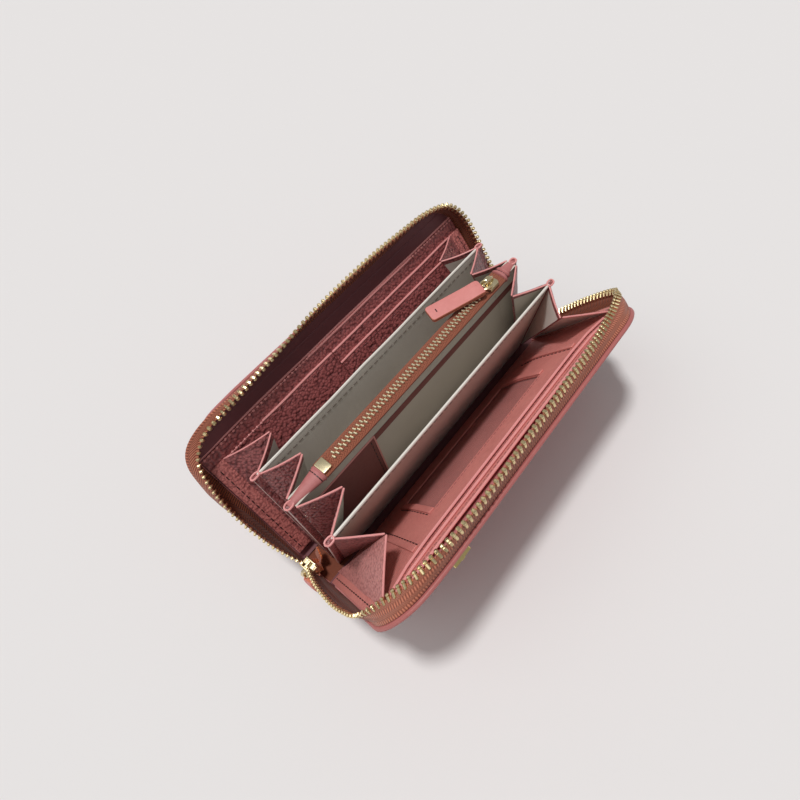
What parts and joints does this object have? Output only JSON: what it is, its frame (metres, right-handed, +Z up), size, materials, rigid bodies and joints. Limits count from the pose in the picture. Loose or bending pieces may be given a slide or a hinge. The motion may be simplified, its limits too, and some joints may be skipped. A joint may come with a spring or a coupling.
{
  "type": "zip around wallet",
  "caption": "Leather zip around wallet standing open on its spine, with card slots, window, dividers and zipped coin pocket.",
  "frame": {"origin": "middle of the underside of the spine, on the surface that the wallet stands on", "axes": "+X along the spine to the far end, away from the outer zip slider, +Y towards the cover with the card slots, +Z up from the surface"},
  "size_m": [0.2017, 0.1387, 0.0937],
  "materials": {
    "outer_leather": "saffiano-like grain, satin",
    "inner_leather": "pebbled and fine linear grain, satin",
    "pull_leather": "fine grain, satin",
    "lining": "plain weave, matte",
    "zip_tape": "herringbone weave, matte",
    "brass": "polished, pale gold",
    "clear_film": "clear, glossy"
  },
  "bodies": {
    "root": {"spine_leather": "outer_leather", "spine_lining": "lining", "pocket_wall_left": "lining", "pocket_wall_right": "lining", "pocket_ends": "inner_leather", "pocket_slip": "inner_leather", "coin_zip_tape": "zip_tape", "coin_zip_teeth": "brass", "coin_zip_plate": "brass", "coin_zip_ends": "inner_leather", "base_tape": "zip_tape", "zip_stop": "brass", "zip_tail": "zip_tape"},
    "left_cover": {"left_cover_leather": "outer_leather", "left_cover_lining": "lining", "left_zip_tape": "zip_tape", "left_zip_teeth": "brass", "left_slip_pocket": "inner_leather", "left_card_back": "inner_leather", "left_card_near": "inner_leather", "left_card_far_1": "inner_leather", "left_card_far_2": "inner_leather", "left_borders": "inner_leather"},
    "right_cover": {"right_cover_leather": "outer_leather", "right_cover_lining": "lining", "right_zip_tape": "zip_tape", "right_zip_teeth": "brass", "right_pocket_back": "inner_leather", "right_pocket_middle": "inner_leather", "window_pane": "clear_film", "window_frame": "inner_leather", "right_borders": "inner_leather", "outside_tab": "outer_leather", "brass_bar": "brass"},
    "divider_a": {"divider_a": "lining", "divider_a_ends": "inner_leather"},
    "divider_b": {"divider_b": "lining", "divider_b_ends": "inner_leather"},
    "coin_slider": {"coin_slider": "brass"},
    "coin_ring": {"coin_pull_ring": "brass"},
    "coin_pull": {"coin_pull_leather": "pull_leather"},
    "outer_slider": {"outer_slider": "brass"},
    "outer_pull": {"outer_pull_ring": "brass", "outer_pull_leather": "pull_leather"},
    "fold_near_1_left": {"gusset_near_1_left": "inner_leather"},
    "fold_near_1_right": {"gusset_near_1_right": "inner_leather"},
    "fold_far_1_left": {"gusset_far_1_left": "inner_leather"},
    "fold_far_1_right": {"gusset_far_1_right": "inner_leather"},
    "fold_near_2_left": {"gusset_near_2_left": "inner_leather"},
    "fold_near_2_right": {"gusset_near_2_right": "inner_leather"},
    "fold_far_2_left": {"gusset_far_2_left": "inner_leather"},
    "fold_far_2_right": {"gusset_far_2_right": "inner_leather"},
    "fold_near_3_left": {"gusset_near_3_left": "inner_leather"},
    "fold_near_3_right": {"gusset_near_3_right": "inner_leather"},
    "fold_far_3_left": {"gusset_far_3_left": "inner_leather"},
    "fold_far_3_right": {"gusset_far_3_right": "inner_leather"},
    "fold_near_4_left": {"gusset_near_4_left": "inner_leather"},
    "fold_near_4_right": {"gusset_near_4_right": "inner_leather"},
    "fold_far_4_left": {"gusset_far_4_left": "inner_leather"},
    "fold_far_4_right": {"gusset_far_4_right": "inner_leather"}
  },
  "joints": [
    {"name": "left_hinge", "type": "hinge", "parent": "root", "child": "left_cover", "pos_m": [0, 0.012, 0.002], "axis": [1, 0, 0], "range_deg": [0, 30.7]},
    {"name": "right_hinge", "type": "hinge", "parent": "root", "child": "right_cover", "pos_m": [0, -0.012, 0.002], "axis": [-1, 0, 0], "range_deg": [0, 36.3]},
    {"name": "divider_a_hinge", "type": "hinge", "parent": "root", "child": "divider_a", "pos_m": [0, 0.00585, 0.002], "axis": [1, 0, 0], "range_deg": [0, 13.41]},
    {"name": "divider_b_hinge", "type": "hinge", "parent": "root", "child": "divider_b", "pos_m": [0, -0.00585, 0.002], "axis": [-1, 0, 0], "range_deg": [0, 13.91]},
    {"name": "coin_slide", "type": "slide", "parent": "root", "child": "coin_slider", "axis": [-1, 0, 0], "range_m": [0, 0.118]},
    {"name": "coin_ring_hinge", "type": "hinge", "parent": "coin_slider", "child": "coin_ring", "pos_m": [0.0625, 0, 0.0826], "axis": [0, 1, 0], "range_deg": [0, 170]},
    {"name": "coin_pull_swivel", "type": "hinge", "parent": "coin_ring", "child": "coin_pull", "pos_m": [0.0595, 0, 0.0826], "axis": [0, 0, 1], "range_deg": [0, 20.01]},
    {"name": "outer_slide", "type": "slide", "parent": "root", "child": "outer_slider", "axis": [0, 0, 1], "range_m": [0, 0.06]},
    {"name": "outer_pull_hinge", "type": "hinge", "parent": "outer_slider", "child": "outer_pull", "pos_m": [-0.0999, 0, 0.014], "axis": [0, 1, 0], "range_deg": [0, 100]},
    {"name": "fold_near_1_left_hinge", "type": "hinge", "parent": "left_cover", "child": "fold_near_1_left", "pos_m": [-0.087, 0.00878, 0.00392], "axis": [0, 0.5105, 0.8599], "range_deg": [0, 28.03]},
    {"name": "fold_near_1_right_hinge", "type": "hinge", "parent": "divider_a", "child": "fold_near_1_right", "pos_m": [-0.0825, 0.00697, 0.00173], "axis": [0, -0.2317, -0.9728], "range_deg": [0, 31.09]},
    {"name": "fold_far_1_left_hinge", "type": "hinge", "parent": "left_cover", "child": "fold_far_1_left", "pos_m": [0.087, 0.00878, 0.00392], "axis": [0, -0.5105, -0.8599], "range_deg": [0, 28.03]},
    {"name": "fold_far_1_right_hinge", "type": "hinge", "parent": "divider_a", "child": "fold_far_1_right", "pos_m": [0.0825, 0.00697, 0.00173], "axis": [0, 0.2317, 0.9728], "range_deg": [0, 31.09]},
    {"name": "fold_near_2_left_hinge", "type": "hinge", "parent": "divider_a", "child": "fold_near_2_left", "pos_m": [-0.0825, 0.00473, 0.00227], "axis": [0, 0.2317, 0.9728], "range_deg": [0, 25.3]},
    {"name": "fold_near_2_right_hinge", "type": "hinge", "parent": "root", "child": "fold_near_2_right", "pos_m": [-0.0825, 0.00355, 0.002], "axis": [0, 0, -1], "range_deg": [0, 25.3]},
    {"name": "fold_far_2_left_hinge", "type": "hinge", "parent": "divider_a", "child": "fold_far_2_left", "pos_m": [0.0825, 0.00473, 0.00227], "axis": [0, -0.2317, -0.9728], "range_deg": [0, 25.3]},
    {"name": "fold_far_2_right_hinge", "type": "hinge", "parent": "root", "child": "fold_far_2_right", "pos_m": [0.0825, 0.00355, 0.002], "axis": [0, 0, 1], "range_deg": [0, 25.3]},
    {"name": "fold_near_3_left_hinge", "type": "hinge", "parent": "root", "child": "fold_near_3_left", "pos_m": [-0.0825, -0.00385, 0.002], "axis": [0, 0, 1], "range_deg": [0, 25.87]},
    {"name": "fold_near_3_right_hinge", "type": "hinge", "parent": "divider_b", "child": "fold_near_3_right", "pos_m": [-0.0825, -0.00473, 0.00228], "axis": [0, 0.2402, -0.9707], "range_deg": [0, 25.87]},
    {"name": "fold_far_3_left_hinge", "type": "hinge", "parent": "root", "child": "fold_far_3_left", "pos_m": [0.0825, -0.00385, 0.002], "axis": [0, 0, -1], "range_deg": [0, 25.87]},
    {"name": "fold_far_3_right_hinge", "type": "hinge", "parent": "divider_b", "child": "fold_far_3_right", "pos_m": [0.0825, -0.00473, 0.00228], "axis": [0, -0.2402, 0.9707], "range_deg": [0, 25.87]},
    {"name": "fold_near_4_left_hinge", "type": "hinge", "parent": "divider_b", "child": "fold_near_4_left", "pos_m": [-0.0825, -0.00697, 0.00172], "axis": [0, -0.2402, 0.9707], "range_deg": [0, 44.51]},
    {"name": "fold_near_4_right_hinge", "type": "hinge", "parent": "right_cover", "child": "fold_near_4_right", "pos_m": [-0.0895, -0.00874, 0.0044], "axis": [0, 0.592, -0.8059], "range_deg": [0, 38.05]},
    {"name": "fold_far_4_left_hinge", "type": "hinge", "parent": "divider_b", "child": "fold_far_4_left", "pos_m": [0.0825, -0.00697, 0.00172], "axis": [0, 0.2402, -0.9707], "range_deg": [0, 44.51]},
    {"name": "fold_far_4_right_hinge", "type": "hinge", "parent": "right_cover", "child": "fold_far_4_right", "pos_m": [0.0895, -0.00874, 0.0044], "axis": [0, -0.592, 0.8059], "range_deg": [0, 38.05]}
  ],
  "couplings": [
    {"joint": "coin_pull_swivel", "follows": "left_hinge", "ratio": 0.65147},
    {"joint": "divider_a_hinge", "follows": "left_hinge", "ratio": 0.43648},
    {"joint": "divider_b_hinge", "follows": "right_hinge", "ratio": 0.38292},
    {"joint": "fold_near_1_left_hinge", "follows": "left_hinge", "ratio": 0.91236},
    {"joint": "fold_near_1_right_hinge", "follows": "left_hinge", "ratio": 1.0121},
    {"joint": "fold_far_1_left_hinge", "follows": "left_hinge", "ratio": 0.91236},
    {"joint": "fold_far_1_right_hinge", "follows": "left_hinge", "ratio": 1.0121},
    {"joint": "fold_near_2_left_hinge", "follows": "left_hinge", "ratio": 0.82339},
    {"joint": "fold_near_2_right_hinge", "follows": "left_hinge", "ratio": 0.82339},
    {"joint": "fold_far_2_left_hinge", "follows": "left_hinge", "ratio": 0.82339},
    {"joint": "fold_far_2_right_hinge", "follows": "left_hinge", "ratio": 0.82339},
    {"joint": "fold_near_3_left_hinge", "follows": "right_hinge", "ratio": 0.71209},
    {"joint": "fold_near_3_right_hinge", "follows": "right_hinge", "ratio": 0.71209},
    {"joint": "fold_far_3_left_hinge", "follows": "right_hinge", "ratio": 0.71209},
    {"joint": "fold_far_3_right_hinge", "follows": "right_hinge", "ratio": 0.71209},
    {"joint": "fold_near_4_left_hinge", "follows": "right_hinge", "ratio": 1.2255},
    {"joint": "fold_near_4_right_hinge", "follows": "right_hinge", "ratio": 1.0476},
    {"joint": "fold_far_4_left_hinge", "follows": "right_hinge", "ratio": 1.2255},
    {"joint": "fold_far_4_right_hinge", "follows": "right_hinge", "ratio": 1.0476}
  ]
}
